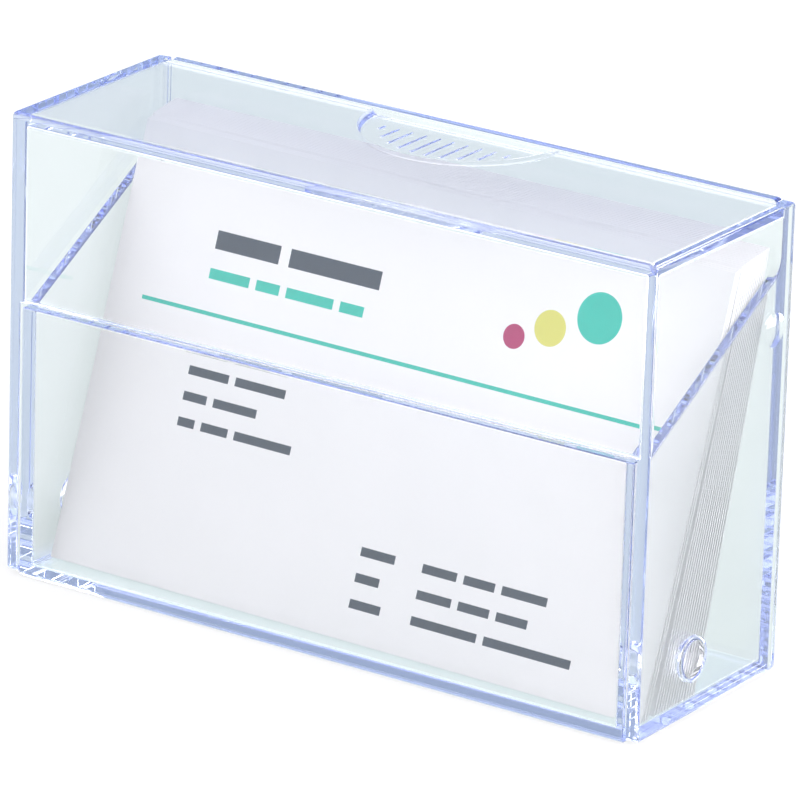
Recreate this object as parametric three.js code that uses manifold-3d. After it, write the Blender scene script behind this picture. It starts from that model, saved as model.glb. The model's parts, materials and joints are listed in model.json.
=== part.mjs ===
// A clear plastic box for business cards: a tray with two pivot pins, a lid that turns on them, and the cards.
// Millimetres, +X to the right, +Y to the back, +Z up. The origin lies under the middle of the tray, on the
// surface that the box stands on. The box is drawn closed.
import * as THREE from "three";
import { mergeVertices } from "three/addons/utils/BufferGeometryUtils.js";
import Module from "manifold-3d";

const wasm = await Module();
wasm.setup();

// Driving dimensions: the cards.
const cardWidth = 85;
const cardHeight = 54;
const cardThickness = 0.27;
const cardCount = 18;
const cardSideClearance = 0.2; // between a card's end and the tray's side wall
const cardSeatClearance = 0.05; // between a card's lowest edge and the tray's floor
const cardBackClearance = 0.2; // between the rear card's top edge and the back wall
const rearCardFoot = 14.6; // from the back wall to the foot of the rear card
const fanPitchBottom = 0.56; // from one card to the next along the floor
const fanPitchTop = 0.385; // and along their top edges
const fanTurnDegrees = 1; // how far the front card is turned, in plan, from the rear one
const looseCount = 3; // this many cards at the front have slid further out together
const looseGapBottom = 0.9;
const looseGapTop = 0.2;

// Driving dimensions: the two mouldings.
const trayWall = 1.3;
const trayFloor = 1.4;
const trayInnerDepth = 28.2; // inside, from the front wall to the back wall
const frontWallHeight = 35; // top edge of the tray's front wall
const sideDropAtBack = 8.5; // how far the tray's side walls end below the box's top at the back wall
const backFilletRadius = 1.5; // where a side wall's slanting top runs into the back wall
const backCornerRadius = 0.8; // upper corners of the back wall
const lidWall = 1.6;
const lidHeadClearance = 2.5; // above a card that stands upright
const lidFootClearance = 0.5; // between the lid's side walls and the surface that the box stands on
const lidBackClearance = 0.6; // between the top panel and the tray's back wall
const pivotGap = 0.4; // between a side wall of the lid and the one of the tray beside it
const edgeRadius = 0.8; // outer edges of both mouldings
const innerFilletRadius = 0.5;

// Driving dimensions: pivots, detents and thumb grip.
const pinDiameter = 5;
const pinClearance = 0.2; // radial, between a pin and its hole
const pinFromFront = 12;
const pinHeight = 7.5;
const swingClearance = 0.35; // between the lid's front wall and the tray's front wall as the lid swings past it
const detentDiameter = 4;
const detentRise = 0.3;
const detentFromBack = 2.7;
const detentBelowEdge = 6.2; // below the side wall's slanting top
const detentClearance = 0.1; // how much wider and deeper a dimple is than its detent
const gripRadius = 13;
const gripSetBack = 0.6; // how far the middle of the grip's round lies behind the panel's rear edge
const gripDepth = 0.7;
const gripRibPitch = 2;
const gripRibWidth = 0.5;
const gripRibRise = 0.25;
const gripRibMargin = 2.5; // between the ribs and the round side of the grip
const gripRibBackMargin = 3.3; // between the ribs and the panel's rear edge

// Smoothness of the round shapes.
const arcSteps = 5;
const pinSides = 48;
const gripSides = 96;
const detentSides = 20;
const overlap = 0.4; // how far a piece of a moulding is sunk into the next before they are joined
const capOverlap = 0.1; // and how far a detent is, whose ball is soon wider than the wall's end allows

// Sizes and places that follow from them.
const trayHalfWidth = cardWidth / 2 + cardSideClearance + trayWall;
const lidInnerHalfWidth = trayHalfWidth + pivotGap;
const halfWidth = lidInnerHalfWidth + lidWall;
const halfDepth = trayInnerDepth / 2 + trayWall;
const height = trayFloor + cardHeight + lidHeadClearance + lidWall;
const innerBack = halfDepth - trayWall;
const innerFront = -innerBack;
const sideTopAtBack = height - sideDropAtBack;
const pinY = -halfDepth + pinFromFront;
const pinRadius = pinDiameter / 2;
const pinHoleRadius = (pinRadius + pinClearance) / Math.cos(Math.PI / pinSides);
const panelUnderside = height - lidWall;
const panelRear = innerBack - lidBackClearance;
const gripCentreY = panelRear + gripSetBack;

// Height of a tray side wall's slanting top at a place between the front and the back wall.
function sideTopAt(y) {
  const slope = (sideTopAtBack - frontWallHeight) / trayInnerDepth;
  return frontWallHeight + slope * (y - innerFront);
}

// The lid's front wall starts where its lower inner corner still swings clear of the tray's front wall.
const trayRimReach = Math.hypot(halfDepth + pinY, frontWallHeight - pinHeight) + swingClearance;
const lidFrontFoot = pinHeight + Math.sqrt(trayRimReach ** 2 - (halfDepth + pinY - lidWall) ** 2);

const clearPlastic = { color: 0xe6f0f2, roughness: 0.05, metalness: 0, transparent: true, opacity: 0.4 };
const cardBoard = { color: 0xf3f4fa, roughness: 0.6, metalness: 0 };

// A closed three.js geometry as a solid.
function solid(geometry) {
  const bare = geometry.clone();
  bare.deleteAttribute("normal");
  bare.deleteAttribute("uv");
  const merged = mergeVertices(bare, 1e-4);
  const vertProperties = merged.attributes.position.array;
  const triVerts = new Uint32Array(merged.index.array);
  return new wasm.Manifold(new wasm.Mesh({ numProp: 3, vertProperties, triVerts }));
}

// A solid as a named mesh.
function meshOf(body, name, finish) {
  const { numProp, vertProperties, triVerts } = body.getMesh();
  const places = new Float32Array((vertProperties.length / numProp) * 3);
  for (let i = 0; i < places.length / 3; i += 1) {
    places.set(vertProperties.subarray(i * numProp, i * numProp + 3), i * 3);
  }
  const geometry = new THREE.BufferGeometry();
  geometry.setAttribute("position", new THREE.BufferAttribute(places, 3));
  geometry.setIndex(new THREE.BufferAttribute(new Uint32Array(triVerts), 1));
  geometry.computeVertexNormals();
  const mesh = new THREE.Mesh(geometry, new THREE.MeshStandardMaterial(finish));
  mesh.name = name;
  return mesh;
}

// A closed outline through corners [u, v, radius], each rounded by its radius.
function outline(corners) {
  const points = [];
  corners.forEach(([u, v, radius = 0], i) => {
    const corner = new THREE.Vector2(u, v);
    if (radius === 0) {
      points.push(corner);
      return;
    }
    const before = corners[(i + corners.length - 1) % corners.length];
    const after = corners[(i + 1) % corners.length];
    const toBefore = new THREE.Vector2(before[0], before[1]).sub(corner).normalize();
    const toAfter = new THREE.Vector2(after[0], after[1]).sub(corner).normalize();
    const halfAngle = toBefore.angleTo(toAfter) / 2;
    const inwards = toBefore.clone().add(toAfter).normalize();
    const centre = corner.clone().addScaledVector(inwards, radius / Math.sin(halfAngle));
    const from = corner.clone().addScaledVector(toBefore, radius / Math.tan(halfAngle)).sub(centre);
    const to = corner.clone().addScaledVector(toAfter, radius / Math.tan(halfAngle)).sub(centre);
    const turn = Math.atan2(from.cross(to), from.dot(to));
    for (let step = 0; step <= arcSteps; step += 1) {
      const angle = from.angle() + (turn * step) / arcSteps;
      points.push(new THREE.Vector2(Math.cos(angle), Math.sin(angle)).multiplyScalar(radius).add(centre));
    }
  });
  return new THREE.Shape(points);
}

// An outline drawn in Y and Z, as a slab from x0 to x1.
function slabAlongX(corners, x0, x1) {
  const turn = new THREE.Matrix4().makeBasis(
    new THREE.Vector3(0, 1, 0),
    new THREE.Vector3(0, 0, 1),
    new THREE.Vector3(1, 0, 0),
  );
  const slab = new THREE.ExtrudeGeometry(outline(corners), { depth: x1 - x0, bevelEnabled: false });
  return solid(slab.applyMatrix4(turn).translate(x0, 0, 0));
}

// An outline drawn in X and Z, as a slab from y0 to y1.
function slabAlongY(corners, y0, y1) {
  const slab = new THREE.ExtrudeGeometry(outline(corners), { depth: y1 - y0, bevelEnabled: false });
  return solid(slab.rotateX(Math.PI / 2).translate(0, y1, 0));
}

// A round bar along X, from x0 to x1, on the pivot axis.
function pivotBar(radius, x0, x1) {
  const bar = new THREE.CylinderGeometry(radius, radius, x1 - x0, pinSides);
  return solid(bar.rotateZ(Math.PI / 2).translate((x0 + x1) / 2, pinY, pinHeight));
}

// The cap of a ball that stands out of a flat face at x, on the side away from the middle of the box.
function roundCap(side, x, diameter, rise) {
  const ballRadius = ((diameter / 2) ** 2 + rise ** 2) / (2 * rise);
  const y = halfDepth - detentFromBack;
  const z = sideTopAt(y) - detentBelowEdge;
  const ball = new THREE.SphereGeometry(ballRadius, detentSides * 2, detentSides);
  ball.translate(side * (x + rise - ballRadius), y, z);
  const slice = new THREE.BoxGeometry(rise + capOverlap, diameter * 2, diameter * 2);
  slice.translate(side * (x + (rise - capOverlap) / 2), y, z);
  return solid(ball).intersect(solid(slice));
}

// The tray: floor, low front wall and high back wall in one profile, two side walls with slanting tops, and on
// each side wall a pivot pin that reaches to the lid's outer face and a small detent near the back.
function makeTray() {
  const profile = [
    [-halfDepth, 0, edgeRadius],
    [halfDepth, 0, edgeRadius],
    [halfDepth, height],
    [innerBack, height],
    [innerBack, trayFloor, innerFilletRadius],
    [innerFront, trayFloor, innerFilletRadius],
    [innerFront, frontWallHeight],
    [-halfDepth, frontWallHeight],
  ];
  const backView = [
    [-trayHalfWidth, 0],
    [trayHalfWidth, 0],
    [trayHalfWidth, height, backCornerRadius],
    [-trayHalfWidth, height, backCornerRadius],
  ];
  const sideWall = [
    [-halfDepth, 0, edgeRadius],
    [halfDepth, 0, edgeRadius],
    [halfDepth, height - backCornerRadius],
    [innerBack, height - backCornerRadius],
    [innerBack, sideTopAtBack, backFilletRadius],
    [innerFront, frontWallHeight],
    [-halfDepth, frontWallHeight],
  ];
  let tray = slabAlongX(profile, -trayHalfWidth, trayHalfWidth);
  tray = tray.add(slabAlongX(sideWall, -trayHalfWidth, trayWall - trayHalfWidth));
  tray = tray.add(slabAlongX(sideWall, trayHalfWidth - trayWall, trayHalfWidth));
  tray = tray.intersect(slabAlongY(backView, -halfDepth, halfDepth));
  tray = tray.add(pivotBar(pinRadius, -halfWidth, overlap - trayHalfWidth));
  tray = tray.add(pivotBar(pinRadius, trayHalfWidth - overlap, halfWidth));
  for (const side of [-1, 1]) {
    tray = tray.add(roundCap(side, trayHalfWidth, detentDiameter, detentRise));
  }
  return tray;
}

// The grip's ribs run from front to back, none of them in the middle, and stop short of its round side.
function addGripRibs(lid) {
  const floor = height - gripDepth;
  const backEnd = panelRear - gripRibBackMargin;
  const reach = gripRadius - gripRibMargin;
  const widest = Math.sqrt(reach ** 2 - (gripCentreY - backEnd) ** 2) - gripRibWidth;
  const perSide = Math.floor(widest / gripRibPitch + 0.5);
  let ribbed = lid;
  for (let i = -perSide; i < perSide; i += 1) {
    const x = (i + 0.5) * gripRibPitch;
    const section = [
      [x - gripRibWidth / 2, floor - gripRibRise],
      [x + gripRibWidth / 2, floor - gripRibRise],
      [x + gripRibWidth / 2, floor + gripRibRise, gripRibWidth / 3],
      [x - gripRibWidth / 2, floor + gripRibRise, gripRibWidth / 3],
    ];
    ribbed = ribbed.add(slabAlongY(section, gripCentreY - Math.sqrt(reach ** 2 - x ** 2), backEnd));
  }
  return ribbed;
}

// The lid: top panel and short front wall in one profile, and two side walls as deep and nearly as high as the
// box, each with the hole for a pivot pin and a dimple for a detent. The thumb grip is sunk in the top panel
// and runs out at its rear edge.
function makeLid() {
  const profile = [
    [-halfDepth, lidFrontFoot],
    [lidWall - halfDepth, lidFrontFoot],
    [lidWall - halfDepth, panelUnderside, innerFilletRadius],
    [panelRear, panelUnderside],
    [panelRear, height],
    [-halfDepth, height, edgeRadius],
  ];
  const sideWall = [
    [-halfDepth, lidFootClearance, edgeRadius],
    [halfDepth, lidFootClearance, edgeRadius],
    [halfDepth, height, edgeRadius],
    [-halfDepth, height, edgeRadius],
  ];
  const grip = new THREE.CylinderGeometry(gripRadius, gripRadius, gripDepth * 2, gripSides);
  grip.rotateX(Math.PI / 2).translate(0, gripCentreY, height);
  const dimpleDiameter = detentDiameter + 2 * detentClearance;
  const dimpleDepth = detentRise + detentClearance;
  let lid = slabAlongX(profile, -halfWidth, halfWidth);
  lid = lid.subtract(solid(grip));
  lid = addGripRibs(lid);
  lid = lid.add(slabAlongX(sideWall, -halfWidth, lidWall - halfWidth));
  lid = lid.add(slabAlongX(sideWall, halfWidth - lidWall, halfWidth));
  lid = lid.subtract(pivotBar(pinHoleRadius, -halfWidth - overlap, overlap - lidInnerHalfWidth));
  lid = lid.subtract(pivotBar(pinHoleRadius, lidInnerHalfWidth - overlap, halfWidth + overlap));
  for (const side of [-1, 1]) {
    lid = lid.subtract(roundCap(side, lidInnerHalfWidth, dimpleDiameter, dimpleDepth));
  }
  return lid;
}

// The cards stand on the floor and lean on the back wall. Their feet are fanned out more than their top edges,
// so each leans a little further back than the one behind it, and the fan opens more at its right end. The
// front card is number 1.
function makeCard(number) {
  const fromRear = cardCount - number;
  const isLoose = number <= looseCount;
  const footY = innerBack - rearCardFoot - fromRear * fanPitchBottom - (isLoose ? looseGapBottom : 0);
  const rearTopY = innerBack - cardBackClearance - cardThickness;
  const topY = rearTopY - fromRear * fanPitchTop - (isLoose ? looseGapTop : 0);
  const lean = Math.asin((topY - footY) / cardHeight);
  const turn = THREE.MathUtils.degToRad(fanTurnDegrees) * (fromRear / (cardCount - 1));
  const card = new THREE.BoxGeometry(cardWidth, cardThickness, cardHeight);
  const mesh = meshOf(solid(card), `card_${String(number).padStart(2, "0")}`, cardBoard);
  mesh.rotation.set(-lean, 0, -turn, "ZXY");
  const footZ = trayFloor + cardSeatClearance + cardThickness * Math.sin(lean);
  const footToMiddle = new THREE.Vector3(0, cardThickness / 2, cardHeight / 2).applyEuler(mesh.rotation);
  mesh.position.set(0, footY + footToMiddle.y, footZ + footToMiddle.z);
  return mesh;
}

const box = new THREE.Group();
box.add(meshOf(makeTray(), "base_tray", clearPlastic));

const cards = new THREE.Group();
for (let number = 1; number <= cardCount; number += 1) {
  cards.add(makeCard(number));
}
box.add(cards);
box.add(meshOf(makeLid(), "lid", clearPlastic));

export default box;
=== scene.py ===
# %% [markdown]
# # A clear box for business cards
#
# This lesson dresses a small desk box: a tray and a lid of water-clear polystyrene, and the fan of
# printed cards that leans inside it. The shapes were drawn to size before, and they are loaded here as a
# fixed frame. Every piece below is modelled again with finer edges on top of that frame, in the same
# place and at the same size.

import json
import math

import bmesh
import bpy
from mathutils import Matrix, Vector

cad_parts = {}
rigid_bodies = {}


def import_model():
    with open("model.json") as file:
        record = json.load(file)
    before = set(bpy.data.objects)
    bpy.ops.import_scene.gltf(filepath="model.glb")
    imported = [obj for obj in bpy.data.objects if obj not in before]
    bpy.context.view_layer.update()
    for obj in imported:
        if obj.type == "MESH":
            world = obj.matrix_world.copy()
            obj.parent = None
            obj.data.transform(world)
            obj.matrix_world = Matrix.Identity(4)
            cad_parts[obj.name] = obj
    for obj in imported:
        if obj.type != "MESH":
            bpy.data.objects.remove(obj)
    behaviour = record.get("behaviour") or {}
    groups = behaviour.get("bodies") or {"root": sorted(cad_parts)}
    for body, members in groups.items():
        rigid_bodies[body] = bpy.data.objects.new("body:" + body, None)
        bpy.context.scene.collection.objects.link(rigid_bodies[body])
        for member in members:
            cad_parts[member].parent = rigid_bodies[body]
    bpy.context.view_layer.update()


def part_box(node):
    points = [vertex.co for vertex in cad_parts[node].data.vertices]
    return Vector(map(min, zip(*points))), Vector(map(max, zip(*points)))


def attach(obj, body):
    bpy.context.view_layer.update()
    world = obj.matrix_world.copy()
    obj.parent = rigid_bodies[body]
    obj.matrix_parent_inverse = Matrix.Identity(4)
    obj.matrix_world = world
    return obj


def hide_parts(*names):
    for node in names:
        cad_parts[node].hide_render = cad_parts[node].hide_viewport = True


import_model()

# %% [markdown]
# ## Sizes
#
# All lengths in this lesson are written in millimetres, because that is how such a moulding is drawn, and
# they are turned into Blender's metres in one place. The tray's and the lid's main faces are read from
# the frame.

# %% Read the main sizes from the frame
MM = 0.001


def box_mm(node):
    """Lowest and highest corner of a piece of the frame, in millimetres."""
    low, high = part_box(node)
    return low / MM, high / MM


lid_low, lid_high = box_mm("lid")
half_width = lid_high.x
half_depth = lid_high.y
top = lid_high.z
lid_foot = lid_low.z
print("half width", round(half_width, 2), "half depth", round(half_depth, 2), "height", round(top, 2))

# %% [markdown]
# The inner faces aren't part of any bounding box, so their sizes are written out. The walls are as thick
# as the bands that show at their ends.

# %% Name the other sizes
tray_wall = 1.3
tray_floor = 1.4
lid_wall = 1.6
pivot_gap = 0.4
tray_half_width = half_width - lid_wall - pivot_gap
inner_half_width = tray_half_width - tray_wall
inner_back = half_depth - tray_wall
front_wall_top = 35.0
back_wall_rise = 8.5
side_top_at_back = top - back_wall_rise
lid_front_foot = 35.5
lid_back_clearance = 0.6
panel_rear = inner_back - lid_back_clearance
pivot_y = -3.4
pivot_z = 7.5
pin_radius = 2.5
pin_hole_radius = 2.7
detent_from_rear = 2.7
detent_below_edge = 6.2
detent_y = half_depth - detent_from_rear
slope = (side_top_at_back - front_wall_top) / (2 * inner_back)
detent_z = front_wall_top + slope * (detent_y + inner_back) - detent_below_edge
print("tray half width", round(tray_half_width, 2), "detent at", round(detent_y, 2), round(detent_z, 2))

# %% [markdown]
# ## A few tools for modelling by hand
#
# A moulding like this grows well from a single block: its faces are cut into strips, and the strips are
# pulled up into walls. These helpers add a block, cut it, and pick faces, edges or corners by where they
# are, which takes the place of clicking on them.

# %% Add and cut a block
def select_only(piece):
    """Deselects everything but this piece and makes it the active one."""
    bpy.ops.object.select_all(action="DESELECT")
    piece.select_set(True)
    bpy.context.view_layer.objects.active = piece


def settle(piece, name):
    """Names a new piece and moves its place into its mesh."""
    piece.name = name
    piece.data.name = name
    select_only(piece)
    bpy.ops.object.transform_apply(location=True, rotation=True, scale=True)
    return piece


def add_block(name, low, high):
    """A block between two corners in millimetres."""
    bpy.ops.object.select_all(action="DESELECT")
    low, high = Vector(low) * MM, Vector(high) * MM
    bpy.ops.mesh.primitive_cube_add(size=1, location=(low + high) / 2, scale=high - low)
    return settle(bpy.context.object, name)


def cut_across(direction, places):
    """In edit mode, cuts the whole mesh by planes at these places along a direction."""
    for place in places:
        bpy.ops.mesh.select_all(action="SELECT")
        bpy.ops.mesh.bisect(plane_co=Vector(direction) * place * MM, plane_no=direction)


# %% Pick and pull
def pick(kind, test):
    """In edit mode, selects what passes test(middle in mm, normal or edge direction)."""
    bpy.ops.mesh.select_mode(type=kind)
    bpy.ops.mesh.select_all(action="DESELECT")
    mesh = bmesh.from_edit_mesh(bpy.context.object.data)
    found = 0
    for item in {"VERT": mesh.verts, "EDGE": mesh.edges, "FACE": mesh.faces}[kind]:
        if kind == "VERT":
            middle, direction = item.co / MM, item.normal
        elif kind == "EDGE":
            middle = (item.verts[0].co + item.verts[1].co) / 2 / MM
            direction = (item.verts[1].co - item.verts[0].co).normalized()
        else:
            middle, direction = item.calc_center_median() / MM, item.normal
        if test(middle, direction):
            item.select = True
            found += 1
    mesh.select_flush_mode()
    bmesh.update_edit_mesh(bpy.context.object.data)
    return found


def pull(offset):
    """Extrudes the selected faces by an offset in millimetres."""
    bpy.ops.mesh.extrude_region_move(TRANSFORM_OT_translate={"value": Vector(offset) * MM})


def edit(piece):
    select_only(piece)
    bpy.ops.object.mode_set(mode="EDIT")


def leave_edit():
    bpy.ops.object.mode_set(mode="OBJECT")


# %% [markdown]
# ## The tray's body
#
# The real tray is one injection moulding: a floor, a low front wall, a high back wall, and side walls
# whose tops slant up between them. It starts as a plate as thick as the floor. Four cuts mark the inside
# faces of the walls, and then the rim between the cuts and the outside is pulled up.

# %% Pull the walls up from the floor
tray = add_block(
    "tray_moulding",
    (-tray_half_width, -half_depth, 0),
    (tray_half_width, half_depth, tray_floor),
)
edit(tray)
cut_across((1, 0, 0), (-inner_half_width, inner_half_width))
cut_across((0, 1, 0), (-inner_back, inner_back))


def in_wall(p):
    """True outside the four cuts, where the walls will stand."""
    return abs(p.x) > inner_half_width or abs(p.y) > inner_back


print("rim faces:", pick("FACE", lambda p, n: n.z > 0.5 and in_wall(p)))
pull((0, 0, front_wall_top - tray_floor))
pick("VERT", lambda p, n: p.z > front_wall_top - 0.1 and p.y > inner_back - 0.1)
bpy.ops.transform.translate(value=(0, 0, (side_top_at_back - front_wall_top) * MM))
back_rim = pick("FACE", lambda p, n: n.z > 0.9 and p.y > inner_back and p.z > front_wall_top)
print("back wall faces:", back_rim)
pull((0, 0, top - side_top_at_back))
bpy.ops.mesh.select_all(action="SELECT")
bpy.ops.mesh.dissolve_limited(angle_limit=math.radians(1))
leave_edit()
print("tray body:", len(tray.data.polygons), "faces")

# %% [markdown]
# ## Rounded edges
#
# No moulded edge is perfectly sharp, and on a clear piece it is the small rounding that catches the
# light. Each edge gets a bevel weight for its own radius, so that a single Bevel modifier rounds them all
# and makes clean corners where different radii meet.

# %% Round every edge by its own radius
def apply_modifier(piece, modifier):
    select_only(piece)
    bpy.ops.object.modifier_apply(modifier=modifier.name)


def round_edges(piece, radius_of, segments):
    """radius_of(middle, direction) gives each edge's radius in millimetres."""
    mesh = piece.data
    radii = []
    for edge in mesh.edges:
        a, b = (mesh.vertices[i].co for i in edge.vertices)
        radii.append(radius_of((a + b) / 2 / MM, (b - a).normalized()))
    weights = mesh.attributes.new("bevel_weight_edge", "FLOAT", "EDGE")
    weights.data.foreach_set("value", [radius / max(radii) for radius in radii])
    bevel = piece.modifiers.new("Rounding", "BEVEL")
    bevel.limit_method = "WEIGHT"
    bevel.width = max(radii) * MM
    bevel.segments = segments
    bevel.miter_outer = "MITER_ARC"
    apply_modifier(piece, bevel)
    print(piece.name, "rounded,", len(mesh.polygons), "faces")


tolerance = 0.05


def near(a, b):
    return abs(a - b) < tolerance


fine_edge = 0.15
seam_edge = 0.3
side_edge = 0.4
inner_corner = 0.3
inner_fillet = 0.5
outer_edge = 0.8
back_fillet = 1.5


def is_slanting(d):
    """True for an edge that runs both backwards and upwards."""
    return abs(d.y) > 0.2 and abs(d.z) > 0.2


def tray_radius(p, d):
    """The tray's radius at an edge with this middle and direction."""
    along_x, along_y = abs(d.x) > 0.9, abs(d.y) > 0.9
    if along_x and near(p.z, 0):
        return outer_edge
    if along_y and near(p.z, top):
        return outer_edge
    if along_x and near(p.z, tray_floor):
        return inner_fillet
    if along_x and near(p.y, -half_depth) and near(p.z, front_wall_top):
        return seam_edge
    if along_y and near(p.z, 0):
        return side_edge
    if is_slanting(d):
        return seam_edge
    if along_x and near(p.y, inner_back) and near(p.z, side_top_at_back):
        return back_fillet
    in_corner = near(p.z, tray_floor) or near(abs(p.y), inner_back)
    return inner_corner if in_corner and near(abs(p.x), inner_half_width) else fine_edge


round_edges(tray, tray_radius, segments=4)

# %% [markdown]
# ## Pins and detents
#
# The lid turns on two round pins that are moulded on the tray's side walls, and small domes near the back
# snap into dimples in the lid. Each is made as a separate primitive, sunk a little into the wall, and
# then joined to it by a Boolean, because clear plastic would show any face left inside.

# %% Join or cut with a Boolean
round_steps = 96


def combine(piece, tool, operation):
    """Joins the tool to the piece or cuts it out, and removes the tool."""
    modifier = piece.modifiers.new("Combine", "BOOLEAN")
    modifier.operation = operation
    modifier.object = tool
    modifier.solver = "EXACT"
    apply_modifier(piece, modifier)
    bpy.data.objects.remove(tool)


def add_bar(name, side, radius, x_from, x_to, rounding=0.0):
    """A round bar on the pivot axis, between two distances from the middle, with a rounded outer rim."""
    bpy.ops.object.select_all(action="DESELECT")
    bpy.ops.mesh.primitive_cylinder_add(
        vertices=round_steps,
        radius=radius * MM,
        depth=(x_to - x_from) * MM,
        location=(side * (x_from + x_to) / 2 * MM, pivot_y * MM, pivot_z * MM),
        rotation=(0, math.pi / 2, 0),
    )
    bar = settle(bpy.context.object, name)
    if rounding:
        edit(bar)
        pick("EDGE", lambda p, d: near(abs(p.x), x_to) and abs(d.x) < 0.1)
        bpy.ops.mesh.bevel(offset=rounding * MM, segments=3)
        leave_edit()
    return bar


def add_ball(name, side, x, diameter, rise):
    """A ball whose cap stands by rise out of a wall face at x, over a circle of that diameter."""
    ball_radius = ((diameter / 2) ** 2 + rise**2) / (2 * rise)
    bpy.ops.object.select_all(action="DESELECT")
    bpy.ops.mesh.primitive_uv_sphere_add(
        segments=round_steps,
        ring_count=round_steps,
        radius=ball_radius * MM,
        location=(side * (x + rise - ball_radius) * MM, detent_y * MM, detent_z * MM),
        rotation=(0, math.pi / 2, 0),
    )
    return settle(bpy.context.object, name)


# %% Put pins and detents on the tray
sunk = 0.4
pin_rounding = 0.2
dome_sunk = 0.1
detent_diameter = 4.0
detent_rise = 0.3
for side in (-1, 1):
    pin = add_bar("pin", side, pin_radius, tray_half_width - sunk, half_width, pin_rounding)
    combine(tray, pin, "UNION")
    dome = add_ball("dome", side, tray_half_width, detent_diameter, detent_rise)
    edit(dome)
    bpy.ops.mesh.select_all(action="SELECT")
    bpy.ops.mesh.bisect(
        plane_co=(side * (tray_half_width - dome_sunk) * MM, 0, 0),
        plane_no=(side, 0, 0),
        clear_inner=True,
        use_fill=True,
    )
    leave_edit()
    combine(tray, dome, "UNION")
print("tray with pins and detents:", len(tray.data.polygons), "faces")

# %% [markdown]
# ## The lid's body
#
# The lid is the second moulding: a top panel, a short front wall that meets the tray's front wall at a
# seam, and two side walls as deep as the box. It grows downwards from the top panel in the same way as
# the tray grew upwards. The panel ends just before the tray's back wall, and only the side walls run on
# past it.

# %% Pull the lid's walls down from its top panel
lid_inner = half_width - lid_wall
front_inner = half_depth - lid_wall
panel_underside = top - lid_wall
lid = add_block(
    "lid_moulding",
    (-half_width, -half_depth, panel_underside),
    (half_width, panel_rear, top),
)
edit(lid)
cut_across((1, 0, 0), (-lid_inner, lid_inner))
cut_across((0, 1, 0), (-front_inner,))
rim = pick("FACE", lambda p, n: n.z < -0.5 and (abs(p.x) > lid_inner or p.y < -front_inner))
pull((0, 0, lid_front_foot - panel_underside))
feet = pick("FACE", lambda p, n: n.z < -0.5 and near(p.z, lid_front_foot) and abs(p.x) > lid_inner)
pull((0, 0, lid_foot - lid_front_foot))
ends = pick("FACE", lambda p, n: n.y > 0.5 and near(p.y, panel_rear) and abs(p.x) > lid_inner)
pull((0, half_depth - panel_rear, 0))
bpy.ops.mesh.select_all(action="SELECT")
bpy.ops.mesh.dissolve_limited(angle_limit=math.radians(1))
leave_edit()
print("rim faces:", rim, "side feet:", feet, "rear ends:", ends)


def lid_radius(p, d):
    """The lid's radius at an edge with this middle and direction."""
    along_x = abs(d.x) > 0.9
    outer_corner = near(abs(p.y), half_depth) and (near(p.z, top) or near(p.z, lid_foot))
    if along_x and outer_corner:
        return outer_edge
    if along_x and near(p.y, -front_inner) and near(p.z, panel_underside):
        return inner_fillet
    if along_x and near(p.z, lid_front_foot):
        return seam_edge
    if near(abs(p.x), half_width):
        return side_edge
    in_corner = near(p.z, panel_underside) or near(p.y, -front_inner)
    return inner_corner if in_corner and near(abs(p.x), lid_inner) else fine_edge


round_edges(lid, lid_radius, segments=4)

# %% [markdown]
# ## Holes and dimples in the lid
#
# A hole in a clear wall shows as two bright rings, one for each end of its bore. The rings only look
# right if the rims are slightly rounded, so after each hole is cut its two rims are bevelled.

# %% Cut the pin holes and the dimples
dimple_play = 0.1


def on_hole_rim(p):
    """True on the circle where the pin hole meets a face of the wall."""
    from_pivot = math.hypot(p.y - pivot_y, p.z - pivot_z)
    return abs(from_pivot - pin_hole_radius) < 0.02


for side in (-1, 1):
    bore = add_bar("bore", side, pin_hole_radius, lid_inner - sunk, half_width + sunk)
    combine(lid, bore, "DIFFERENCE")
    dimple_diameter = detent_diameter + 2 * dimple_play
    dimple = add_ball("dimple", side, lid_inner, dimple_diameter, detent_rise + dimple_play)
    combine(lid, dimple, "DIFFERENCE")
edit(lid)
rims = pick("EDGE", lambda p, d: on_hole_rim(p) and abs(d.x) < 0.1)
bpy.ops.mesh.bevel(offset=fine_edge * MM, segments=2)
leave_edit()
print("rim edges bevelled:", rims)

# %% [markdown]
# ## The thumb grip
#
# At the rear edge of the top panel there is a shallow half-round recess with fine ribs, where a thumb
# pushes the lid open. The recess is the mark of a round disc with a rounded foot. One rib is modelled,
# and its copies are cut to length so that their ends follow the round side of the recess.

# %% Sink the recess
grip_radius = 13.0
grip_behind_edge = 0.6
grip_depth = 0.7
grip_foot = 0.6
grip_steps = 256
grip_centre_y = panel_rear + grip_behind_edge
grip_floor = top - grip_depth
bpy.ops.object.select_all(action="DESELECT")
bpy.ops.mesh.primitive_cylinder_add(
    vertices=grip_steps,
    radius=grip_radius * MM,
    depth=2 * grip_depth * MM,
    location=(0, grip_centre_y * MM, top * MM),
)
disc = settle(bpy.context.object, "grip_disc")
edit(disc)
pick("EDGE", lambda p, d: near(p.z, grip_floor) and abs(d.z) < 0.1)
bpy.ops.mesh.bevel(offset=grip_foot * MM, segments=8)
leave_edit()
combine(lid, disc, "DIFFERENCE")
print("lid with grip:", len(lid.data.polygons), "faces")

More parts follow.
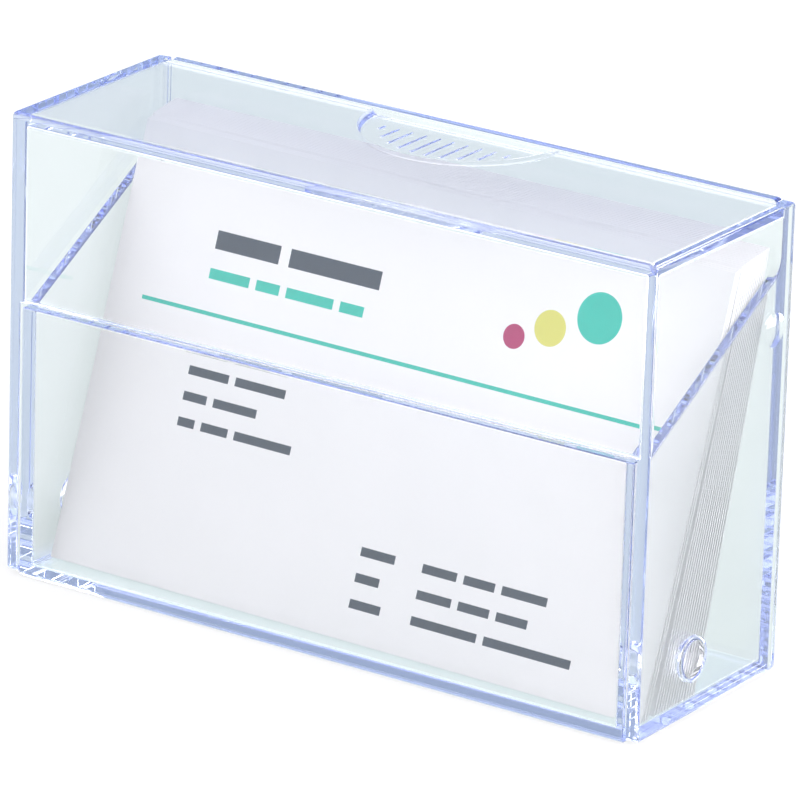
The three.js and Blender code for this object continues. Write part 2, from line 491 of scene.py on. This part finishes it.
# %% Model one rib and copy it
rib_pitch = 2.0
rib_width = 0.5
rib_rise = 0.12
rib_rounding = rib_width / 2.5
rib_end_gap = 2.5
rib_back_gap = 3.3
rib_length = 1
rib_reach = grip_radius - rib_end_gap
rib_back = panel_rear - rib_back_gap
ribs_each_side = 5
rib = add_block(
    "rib",
    (-rib_width / 2, rib_back - rib_length, grip_floor - rib_rise),
    (rib_width / 2, rib_back, grip_floor + rib_rise),
)
edit(rib)
pick("EDGE", lambda p, d: near(p.z, grip_floor + rib_rise))
bpy.ops.mesh.bevel(offset=rib_rounding * MM, segments=4)
leave_edit()
ribs = []
for i in range(-ribs_each_side, ribs_each_side):
    select_only(rib)
    bpy.ops.object.duplicate(linked=False)
    copy = bpy.context.object
    edit(copy)
    pick("VERT", lambda p, n: p.y < rib_back - rib_length / 2)
    x = (i + 0.5) * rib_pitch
    front_end = grip_centre_y - math.sqrt(rib_reach**2 - x**2)
    bpy.ops.transform.translate(value=(0, (front_end - rib_back + rib_length) * MM, 0))
    bpy.ops.mesh.select_all(action="SELECT")
    bpy.ops.transform.translate(value=(x * MM, 0, 0))
    leave_edit()
    ribs.append(copy)
bpy.data.objects.remove(rib)
bpy.ops.object.select_all(action="DESELECT")
for copy in ribs:
    copy.select_set(True)
bpy.context.view_layer.objects.active = ribs[0]
bpy.ops.object.join()
combine(lid, bpy.context.object, "UNION")
print("ribs:", len(ribs), "- lid:", len(lid.data.polygons), "faces")

# %% [markdown]
# ## Smooth shading
#
# Rounded edges are shaded smooth and flat faces flat. On clear plastic even a slightly turned normal
# bends what lies behind a wall, so every face that lies square to an axis, and the slanting wall tops,
# are set to flat. The roundings next to them still blend into them, because they share their corners.

# %% Shade the two mouldings
slant = Vector((0, -slope, 1)).normalized()
smooth_below = 35
square_enough = 0.9995


def is_flat_face(n):
    return max(abs(n.x), abs(n.y), abs(n.z), n.dot(slant)) > square_enough


def shade(piece, angle_degrees):
    """Shades edges below the angle smooth, and says how many faces are set to flat."""
    select_only(piece)
    bpy.ops.object.shade_smooth_by_angle(angle=math.radians(angle_degrees))
    edit(piece)
    flat = pick("FACE", lambda p, n: is_flat_face(n))
    bpy.ops.mesh.faces_shade_flat()
    leave_edit()
    return flat


for moulding in (tray, lid):
    flat_faces = shade(moulding, smooth_below)
    low = Vector(min(v.co[i] for v in moulding.data.vertices) for i in range(3)) / MM
    high = Vector(max(v.co[i] for v in moulding.data.vertices) for i in range(3)) / MM
    print(moulding.name, flat_faces, "flat faces", [round(x, 2) for x in low], [round(x, 2) for x in high])

# %% [markdown]
# ## The cards
#
# The cards are thin sheets that lean on the back wall. Under their own weight they bow a little towards
# the back. One card is modelled standing on the XZ plane: a block with its edges just broken, cut into
# strips whose corner rows are then moved by the bow. It also gets a UV map in which 1 is the whole card,
# so that the print can be drawn in the material and stays on the card wherever it stands.

# %% Model one card
card_width = 85.0
card_height = 54.0
card_thickness = 0.27
card_bow = 0.15
card_edge = 0.03
strips = 12
card = add_block("card", (-card_width / 2, 0, 0), (card_width / 2, card_thickness, card_height))
edit(card)
bpy.ops.mesh.select_all(action="SELECT")
bpy.ops.mesh.bevel(offset=card_edge * MM, segments=1)
cut_across((0, 0, 1), [card_height * i / strips for i in range(1, strips)])
for i in range(1, strips):
    height = card_height * i / strips
    share = i / strips
    pick("VERT", lambda p, n: near(p.z, height))
    bpy.ops.transform.translate(value=(0, 4 * card_bow * share * (1 - share) * MM, 0))
leave_edit()
card_map = card.data.uv_layers.active or card.data.uv_layers.new(name="card")
for polygon in card.data.polygons:
    for loop in polygon.loop_indices:
        place = card.data.vertices[card.data.loops[loop].vertex_index].co / MM
        card_map.data[loop].uv = (place.x / card_width + 0.5, place.z / card_height)
print("card:", len(card.data.polygons), "faces")

# %% [markdown]
# The stack is a fan. The cards' feet are further apart than their top edges, the front three have slid a
# little further out together, and the whole fan opens more at its right end. Each copy is placed by the
# same rule as the card of the frame that it stands for.

# %% Fan the cards out
card_count = 18
rear_foot_gap = 14.6
rear_top_gap = 0.2
rear_foot_y = inner_back - rear_foot_gap
rear_top_y = inner_back - rear_top_gap - card_thickness
pitch_bottom = 0.56
pitch_top = 0.385
loose_count = 3
loose_gap_bottom = 0.9
loose_gap_top = 0.2
full_turn = math.radians(1)
seat = 0.05


def place_of_card(number):
    """Where the card with this number stands, as a matrix in metres. The front card is number 1."""
    from_rear = card_count - number
    loose = number <= loose_count
    foot_y = rear_foot_y - from_rear * pitch_bottom - (loose_gap_bottom if loose else 0)
    top_y = rear_top_y - from_rear * pitch_top - (loose_gap_top if loose else 0)
    lean = math.asin((top_y - foot_y) / card_height)
    turn = full_turn * from_rear / (card_count - 1)
    turned = Matrix.Rotation(-turn, 4, "Z") @ Matrix.Rotation(-lean, 4, "X")
    to_middle = turned @ Vector((0, card_thickness / 2, card_height / 2))
    foot_z = tray_floor + seat + card_thickness * math.sin(lean)
    foot = Vector((-to_middle.x, foot_y, foot_z)) * MM
    return Matrix.Translation(foot) @ turned


cards = []
for number in range(1, card_count + 1):
    select_only(card)
    bpy.ops.object.duplicate(linked=False)
    copy = bpy.context.object
    copy.matrix_world = place_of_card(number)
    cards.append(settle(copy, f"printed_card_{number:02d}"))
bpy.data.objects.remove(card)
print("cards:", len(cards))

# %% [markdown]
# ## Check against the frame
#
# Each new piece should fill the same space as the piece of the frame that it stands for. The largest
# distance between the two bounding boxes is printed, and it should only be a bow's or a rounding's worth.

# %% Measure the pieces against the frame
def farthest_off(piece, node):
    """The largest distance between the bounding boxes of a piece and its node, in millimetres."""
    low, high = box_mm(node)
    corners = [v.co / MM for v in piece.data.vertices]
    off = [abs(min(c[i] for c in corners) - low[i]) for i in range(3)]
    off += [abs(max(c[i] for c in corners) - high[i]) for i in range(3)]
    return round(max(off), 3)


print("tray off by", farthest_off(tray, "base_tray"), "mm")
print("lid off by", farthest_off(lid, "lid"), "mm")
card_nodes = [f"card_{number:02d}" for number in range(1, card_count + 1)]
print("cards off by", max(farthest_off(c, n) for c, n in zip(cards, card_nodes)), "mm")

# %% [markdown]
# ## Clear plastic
#
# Polystyrene is clear but not colourless: makers add a trace of violet so that it doesn't look yellow.
# Through a wall that is hardly seen, but light that runs along inside a wall comes out of its edge
# tinted. That is what absorption inside the plastic does, so it is set in the volume. The surface is
# polished, with a very faint waviness from the mould.

# %% Helpers for node materials
def new_material(name):
    """A new material, its node tree and its shader."""
    material = bpy.data.materials.new(name)
    material.use_nodes = True
    tree = material.node_tree
    return material, tree, tree.nodes["Principled BSDF"]


def add_node(tree, kind, **inputs):
    """Adds a node and sets or links its inputs by name."""
    node = tree.nodes.new(kind)
    for name, value in inputs.items():
        set_input(tree, node, name, value)
    return node


def set_input(tree, node, name, value):
    """Links a socket to this input, or writes a value into it."""
    socket = node.inputs[name]
    if isinstance(value, bpy.types.NodeSocket):
        tree.links.new(value, socket)
    else:
        socket.default_value = value


def mix_colours(tree, share, low, high):
    """Mixes two colours by a share between 0 and 1."""
    mix = tree.nodes.new("ShaderNodeMix")
    mix.data_type = "RGBA"
    for socket, value in zip((mix.inputs[0], mix.inputs[6], mix.inputs[7]), (share, low, high)):
        if isinstance(value, bpy.types.NodeSocket):
            tree.links.new(value, socket)
        else:
            socket.default_value = value
    return mix.outputs[2]


# %% Make the clear plastic
clear_patch = (0.995, 0.995, 0.995, 1)
smeared_patch = (0.975, 0.98, 0.975, 1)
polystyrene_ior = 1.59
violet_trace = (0.12, 0.25, 0.72, 1)
trace_density = 13.0


def make_clear_plastic(name):
    """Clear polystyrene, faintly wavy and smeared, with a trace of violet inside."""
    material, tree, shader = new_material(name)
    set_input(tree, shader, "IOR", polystyrene_ior)
    set_input(tree, shader, "Transmission Weight", 1.0)
    place = add_node(tree, "ShaderNodeTexCoord").outputs["Object"]
    wave = add_node(tree, "ShaderNodeTexNoise", Vector=place, Scale=45.0, Detail=2.0)
    smears = add_node(tree, "ShaderNodeTexNoise", Vector=place, Scale=160.0, Detail=4.0)
    cleanness = mix_colours(tree, smears.outputs["Fac"], clear_patch, smeared_patch)
    set_input(tree, shader, "Base Color", cleanness)
    set_input(tree, shader, "Roughness", 0.0)
    height = wave.outputs["Fac"]
    bump = add_node(tree, "ShaderNodeBump", Height=height, Strength=0.01, Distance=0.00001)
    set_input(tree, shader, "Normal", bump.outputs["Normal"])
    tint = tree.nodes.new("ShaderNodeVolumeAbsorption")
    tint.inputs["Color"].default_value = violet_trace
    tint.inputs["Density"].default_value = trace_density
    tree.links.new(tint.outputs["Volume"], tree.nodes["Material Output"].inputs["Volume"])
    return material


clear_plastic = make_clear_plastic("clear_polystyrene")
print("made", clear_plastic.name)

# %% [markdown]
# ## Printed card
#
# The card stock is smooth white board with a hint of tooth. Its front carries a plain design of three
# discs, a thin rule and rows of bars. An image would do too, but shapes this simple can be drawn by
# arithmetic on the card's own UV map, which stays sharp at any size. They are measured in millimetres
# from the card's lower left corner: a disc by its centre and radius, and a row of bars by its height
# above the card's foot, its own height and the left and right end of each bar.

# %% Drawing with masks
def math_node(tree, operation, a, b=0.0):
    """The result of one arithmetic step on sockets or numbers."""
    node = tree.nodes.new("ShaderNodeMath")
    node.operation = operation
    for socket, value in zip(node.inputs, (a, b)):
        if isinstance(value, bpy.types.NodeSocket):
            tree.links.new(value, socket)
        else:
            socket.default_value = value
    return node.outputs[0]


def bar_mask(tree, u, v, left, right, low, high):
    """1 inside an upright rectangle."""
    off_u = math_node(tree, "ABSOLUTE", math_node(tree, "SUBTRACT", u, (left + right) / 2))
    off_v = math_node(tree, "ABSOLUTE", math_node(tree, "SUBTRACT", v, (low + high) / 2))
    in_u = math_node(tree, "LESS_THAN", off_u, (right - left) / 2)
    in_v = math_node(tree, "LESS_THAN", off_v, (high - low) / 2)
    return math_node(tree, "MULTIPLY", in_u, in_v)


def disc_mask(tree, u, v, centre_u, centre_v, radius):
    """1 inside a disc."""
    off_u = math_node(tree, "SUBTRACT", u, centre_u)
    off_v = math_node(tree, "SUBTRACT", v, centre_v)
    square_u = math_node(tree, "POWER", off_u, 2)
    square_v = math_node(tree, "POWER", off_v, 2)
    square = math_node(tree, "ADD", square_u, square_v)
    return math_node(tree, "LESS_THAN", square, radius**2)


# %% Lay out the print
magenta = (0.42, 0.008, 0.13, 1)
yellow = (0.70, 0.67, 0.15, 1)
teal = (0.015, 0.52, 0.42, 1)
slate = (0.035, 0.05, 0.085, 1)
discs = ((58.5, 40.6, 1.5, magenta), (63.2, 42.6, 2.2, yellow), (69.6, 45.2, 3.1, teal))
rule = (5.0, 80.0, 33.75, 34.25)
broad_bars = (41.9, 2.3, slate, (14, 23.5, 25, 38.5))
teal_bars = (38.2, 1.3, teal, (14, 20, 21, 24.5, 25.5, 32.5, 33.5, 37))
small_bars = (
    (26.2, 1.1, slate, (14, 20, 21, 28.5)),
    (23.0, 1.1, slate, (14, 17.5, 18.5, 25)),
    (19.8, 1.1, slate, (14, 16.5, 17.5, 21.5, 22.5, 31)),
    (10.4, 1.1, slate, (44, 49, 53, 58, 59, 63.5, 64.5, 71)),
    (7.2, 1.1, slate, (44, 47.5, 53, 58, 59, 63.5, 64.5, 69)),
    (4.0, 1.1, slate, (44, 48.5, 53, 62.5, 63.5, 76)),
)


def make_card_print(name):
    """White board with the discs, the rule and the bars drawn on it."""
    material, tree, shader = new_material(name)
    uv = tree.nodes.new("ShaderNodeUVMap").outputs["UV"]
    split = add_node(tree, "ShaderNodeSeparateXYZ", Vector=uv)
    u = math_node(tree, "MULTIPLY", split.outputs["X"], card_width)
    v = math_node(tree, "MULTIPLY", split.outputs["Y"], card_height)
    marks = [(disc_mask(tree, u, v, cu, cv, r), ink) for cu, cv, r, ink in discs]
    marks.append((bar_mask(tree, u, v, *rule), teal))
    for low, tall, ink, ends in (broad_bars, teal_bars, *small_bars):
        for left, right in zip(ends[::2], ends[1::2]):
            marks.append((bar_mask(tree, u, v, left, right, low, low + tall), ink))
    colour = stock_colour(tree)
    for mask, ink in marks:
        colour = mix_colours(tree, mask, colour, ink)
    set_input(tree, shader, "Base Color", colour)
    finish_stock(tree, shader)
    return material


# %% The board itself
board_white = (0.93, 0.91, 0.93, 1)
board_shade = (0.90, 0.885, 0.91, 1)
smoothest = 0.42
roughest = 0.6


def stock_colour(tree):
    """White board with a faint cloudiness."""
    place = add_node(tree, "ShaderNodeTexCoord").outputs["Object"]
    cloud = add_node(tree, "ShaderNodeTexNoise", Vector=place, Scale=60.0, Detail=3.0)
    return mix_colours(tree, cloud.outputs["Fac"], board_white, board_shade)


def finish_stock(tree, shader):
    """A smooth board's tooth, and its soft gloss."""
    place = add_node(tree, "ShaderNodeTexCoord").outputs["Object"]
    tooth = add_node(tree, "ShaderNodeTexNoise", Vector=place, Scale=5000.0, Detail=2.0)
    height = tooth.outputs["Fac"]
    bump = add_node(tree, "ShaderNodeBump", Height=height, Strength=0.15, Distance=0.00002)
    set_input(tree, shader, "Normal", bump.outputs["Normal"])
    gloss = add_node(tree, "ShaderNodeMapRange", Value=height)
    gloss.inputs["To Min"].default_value = smoothest
    gloss.inputs["To Max"].default_value = roughest
    set_input(tree, shader, "Roughness", gloss.outputs["Result"])


def make_card_stock(name):
    """The same board without print, for backs and edges."""
    material, tree, shader = new_material(name)
    set_input(tree, shader, "Base Color", stock_colour(tree))
    finish_stock(tree, shader)
    return material


card_print = make_card_print("printed_board")
card_stock = make_card_stock("plain_board")
print("made", card_print.name, "with", len(card_print.node_tree.nodes), "nodes")
print("made", card_stock.name, "with", len(card_stock.node_tree.nodes), "nodes")

# %% [markdown]
# ## Put the finishes on
#
# The mouldings take the clear plastic all over. A card is printed on the face that looks forward and
# plain on its back and edges, so its forward faces, found by their normals, get the printed finish.

# %% Assign the materials
forward_limit = -0.8
for moulding in (tray, lid):
    moulding.data.materials.clear()
    moulding.data.materials.append(clear_plastic)
for printed in cards:
    printed.data.materials.clear()
    printed.data.materials.append(card_stock)
    printed.data.materials.append(card_print)
    for polygon in printed.data.polygons:
        polygon.material_index = 1 if polygon.normal.y < forward_limit else 0
print("printed faces on the front card:", sum(p.material_index for p in cards[0].data.polygons))

# %% [markdown]
# ## Hand the pieces to their bodies
#
# The tray and the cards stay together as the base, and the lid turns on the pins. Each new piece rides on
# its body and stands for its piece of the frame.

# %% Ride and replace
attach(tray, "base")
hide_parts("base_tray")
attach(lid, "lid")
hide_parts("lid")
for printed, node in zip(cards, card_nodes):
    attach(printed, "base")
    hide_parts(node)

# %% [markdown]
# ## The studio floor
#
# The box stands on plain pale paper. A real photograph of something clear is often cut out to white,
# while the table still shows through its walls a little darker. The paper therefore glows in a white of
# its own where the camera sees it directly, and in a pale green-grey through or in the plastic. Under the
# box that glow is brighter. This is a painted pool of light on the floor, not a lamp, and it makes the
# pale strip of floor before the cards. A share of the plain paper stays in the mix, so that the floor
# keeps the box's soft shadow.

# %% Floor
def under_box(tree, split):
    """1 on the part of the floor that the box covers, where the painted pool of light goes."""
    off_x = math_node(tree, "ABSOLUTE", split.outputs["X"])
    off_y = math_node(tree, "ABSOLUTE", split.outputs["Y"])
    in_x = math_node(tree, "LESS_THAN", off_x, half_width * MM)
    in_y = math_node(tree, "LESS_THAN", off_y, half_depth * MM)
    return math_node(tree, "MULTIPLY", in_x, in_y)


floor_side = 6
floor_gap = 0.0001
floor_paper = (0.86, 0.86, 0.87, 1)
glow_seen = (0.93, 0.93, 0.935, 1)
glow_through_plastic = (0.65, 0.745, 0.715, 1)
# painted light: a brighter glow for the floor under the box, seen through the plastic
painted_light_under_box = (1.0, 1.16, 1.17, 1)
glow_share = 0.8
bpy.ops.object.select_all(action="DESELECT")
bpy.ops.mesh.primitive_plane_add(size=floor_side, location=(0, 0, -floor_gap))
floor = settle(bpy.context.object, "studio_floor")
floor_material, tree, shader = new_material("studio_floor")
set_input(tree, shader, "Base Color", floor_paper)
set_input(tree, shader, "Roughness", 0.9)
path = tree.nodes.new("ShaderNodeLightPath")
seen = math_node(tree, "MAXIMUM", path.outputs["Is Camera Ray"], path.outputs["Is Glossy Ray"])
seen = math_node(tree, "MAXIMUM", seen, path.outputs["Is Transmission Ray"])
place = add_node(tree, "ShaderNodeTexCoord").outputs["Object"]
split = add_node(tree, "ShaderNodeSeparateXYZ", Vector=place)
# the painted pool of light is laid on the floor under the box
glow_colour = mix_colours(tree, under_box(tree, split), glow_through_plastic, painted_light_under_box)
glow_colour = mix_colours(tree, path.outputs["Is Camera Ray"], glow_colour, glow_seen)
glow = add_node(tree, "ShaderNodeEmission", Color=glow_colour, Strength=1.0)
blend = tree.nodes.new("ShaderNodeMixShader")
tree.links.new(math_node(tree, "MULTIPLY", seen, glow_share), blend.inputs[0])
tree.links.new(shader.outputs[0], blend.inputs[1])
tree.links.new(glow.outputs[0], blend.inputs[2])
tree.links.new(blend.outputs[0], tree.nodes["Material Output"].inputs["Surface"])
floor.data.materials.append(floor_material)
print("floor size", [round(x, 1) for x in floor.dimensions])

# %% [markdown]
# ## The light
#
# A lamp would show as a hard glint in every wall, so there are none. The world itself is a soft room:
# white all round, cooler and darker at the rear, and brighter in front, overhead and most of all on the
# right, which is what lights the ends of the cards. Each part of the room is a range of directions that
# fades in between two limits. The right light keeps clear of the direction that the box's corners mirror,
# or they would burn out.

# %% Fade in by direction
def rise(tree, value, start, end):
    """0 below start, 1 above end, and smooth in between."""
    node = tree.nodes.new("ShaderNodeMapRange")
    node.interpolation_type = "SMOOTHSTEP"
    tree.links.new(value, node.inputs["Value"])
    node.inputs["From Min"].default_value = start
    node.inputs["From Max"].default_value = end
    return node.outputs["Result"]


def likeness(tree, direction, target):
    """1 for directions like the target, and less the further they turn away from it."""
    node = tree.nodes.new("ShaderNodeVectorMath")
    node.operation = "DOT_PRODUCT"
    tree.links.new(direction, node.inputs[0])
    node.inputs[1].default_value = target
    return node.outputs["Value"]


# %% World
room_white = (1.0, 1.0, 1.0, 1)
room_rear = (0.46, 0.55, 0.70, 1)
front_light = (2.8, 2.8, 2.85, 1)
right_light = (12, 12, 12, 1)
top_light = (2.2, 2.2, 2.3, 1)
right_light_direction = (0.94, 0.34, 0)
world = bpy.data.worlds.new("studio")
bpy.context.scene.world = world
world.use_nodes = True
tree = world.node_tree
direction = add_node(tree, "ShaderNodeTexCoord").outputs["Generated"]
split = add_node(tree, "ShaderNodeSeparateXYZ", Vector=direction)
to_back = split.outputs["Y"]
upwards = split.outputs["Z"]
rear = rise(tree, to_back, 0.2, 0.5)
to_front = math_node(tree, "MULTIPLY", to_back, -1)
above_horizon = rise(tree, upwards, -0.05, 0.1)
front = math_node(tree, "MULTIPLY", rise(tree, to_front, 0.1, 0.6), above_horizon)
side = rise(tree, likeness(tree, direction, right_light_direction), 0.78, 0.84)
side = math_node(tree, "MULTIPLY", side, above_horizon)
overhead = rise(tree, upwards, 0.6, 0.85)
colour = mix_colours(tree, rear, room_white, room_rear)
colour = mix_colours(tree, front, colour, front_light)
colour = mix_colours(tree, side, colour, right_light)
colour = mix_colours(tree, overhead, colour, top_light)
tree.links.new(colour, tree.nodes["Background"].inputs["Color"])
tree.nodes["Background"].inputs["Strength"].default_value = 1.0
print("world made with", len(tree.nodes), "nodes")

# %% [markdown]
# ## The camera
#
# The camera stands to the right and above, with a long lens and far enough away that the box hardly
# tapers. It is described by its turn round the box, its height, its distance and a slight roll.

# %% Camera
turn_right = math.radians(33.62)
look_down = math.radians(19.75)
roll = math.radians(1.72)
distance = 0.9372
sensor_width = 36
focal_length = 351.07
aim = Vector((0.00115, 0, 0.02887))
back = Vector((
    math.sin(turn_right) * math.cos(look_down),
    -math.cos(turn_right) * math.cos(look_down),
    math.sin(look_down),
))
right = Vector((0, 0, 1)).cross(back).normalized()
up = back.cross(right)
camera_right = right * math.cos(roll) + up * math.sin(roll)
camera_up = up * math.cos(roll) - right * math.sin(roll)
camera_data = bpy.data.cameras.new("camera")
camera_data.sensor_width = sensor_width
camera_data.lens = focal_length
camera_data.clip_start = 0.01
camera = bpy.data.objects.new("camera", camera_data)
bpy.context.collection.objects.link(camera)
turn = Matrix((camera_right, camera_up, back)).transposed().to_4x4()
camera.matrix_world = Matrix.Translation(aim + back * distance) @ turn
scene = bpy.context.scene
scene.camera = camera
print("camera", round(distance, 2), "m away")

# %% [markdown]
# Colours are shown as they are, without a film look. Light crosses many walls in a clear box, and inside
# a wall it runs from face to face until it leaves at an edge. A path may therefore bend very often before
# it ends. With fewer bounces the slanting wall tops turn black in blotches.

# %% View and bounces
scene.view_settings.view_transform = "Standard"
bounces = 160
scene.cycles.max_bounces = bounces
scene.cycles.transmission_bounces = bounces
scene.cycles.glossy_bounces = bounces
scene.cycles.diffuse_bounces = 6
print("up to", bounces, "bounces")
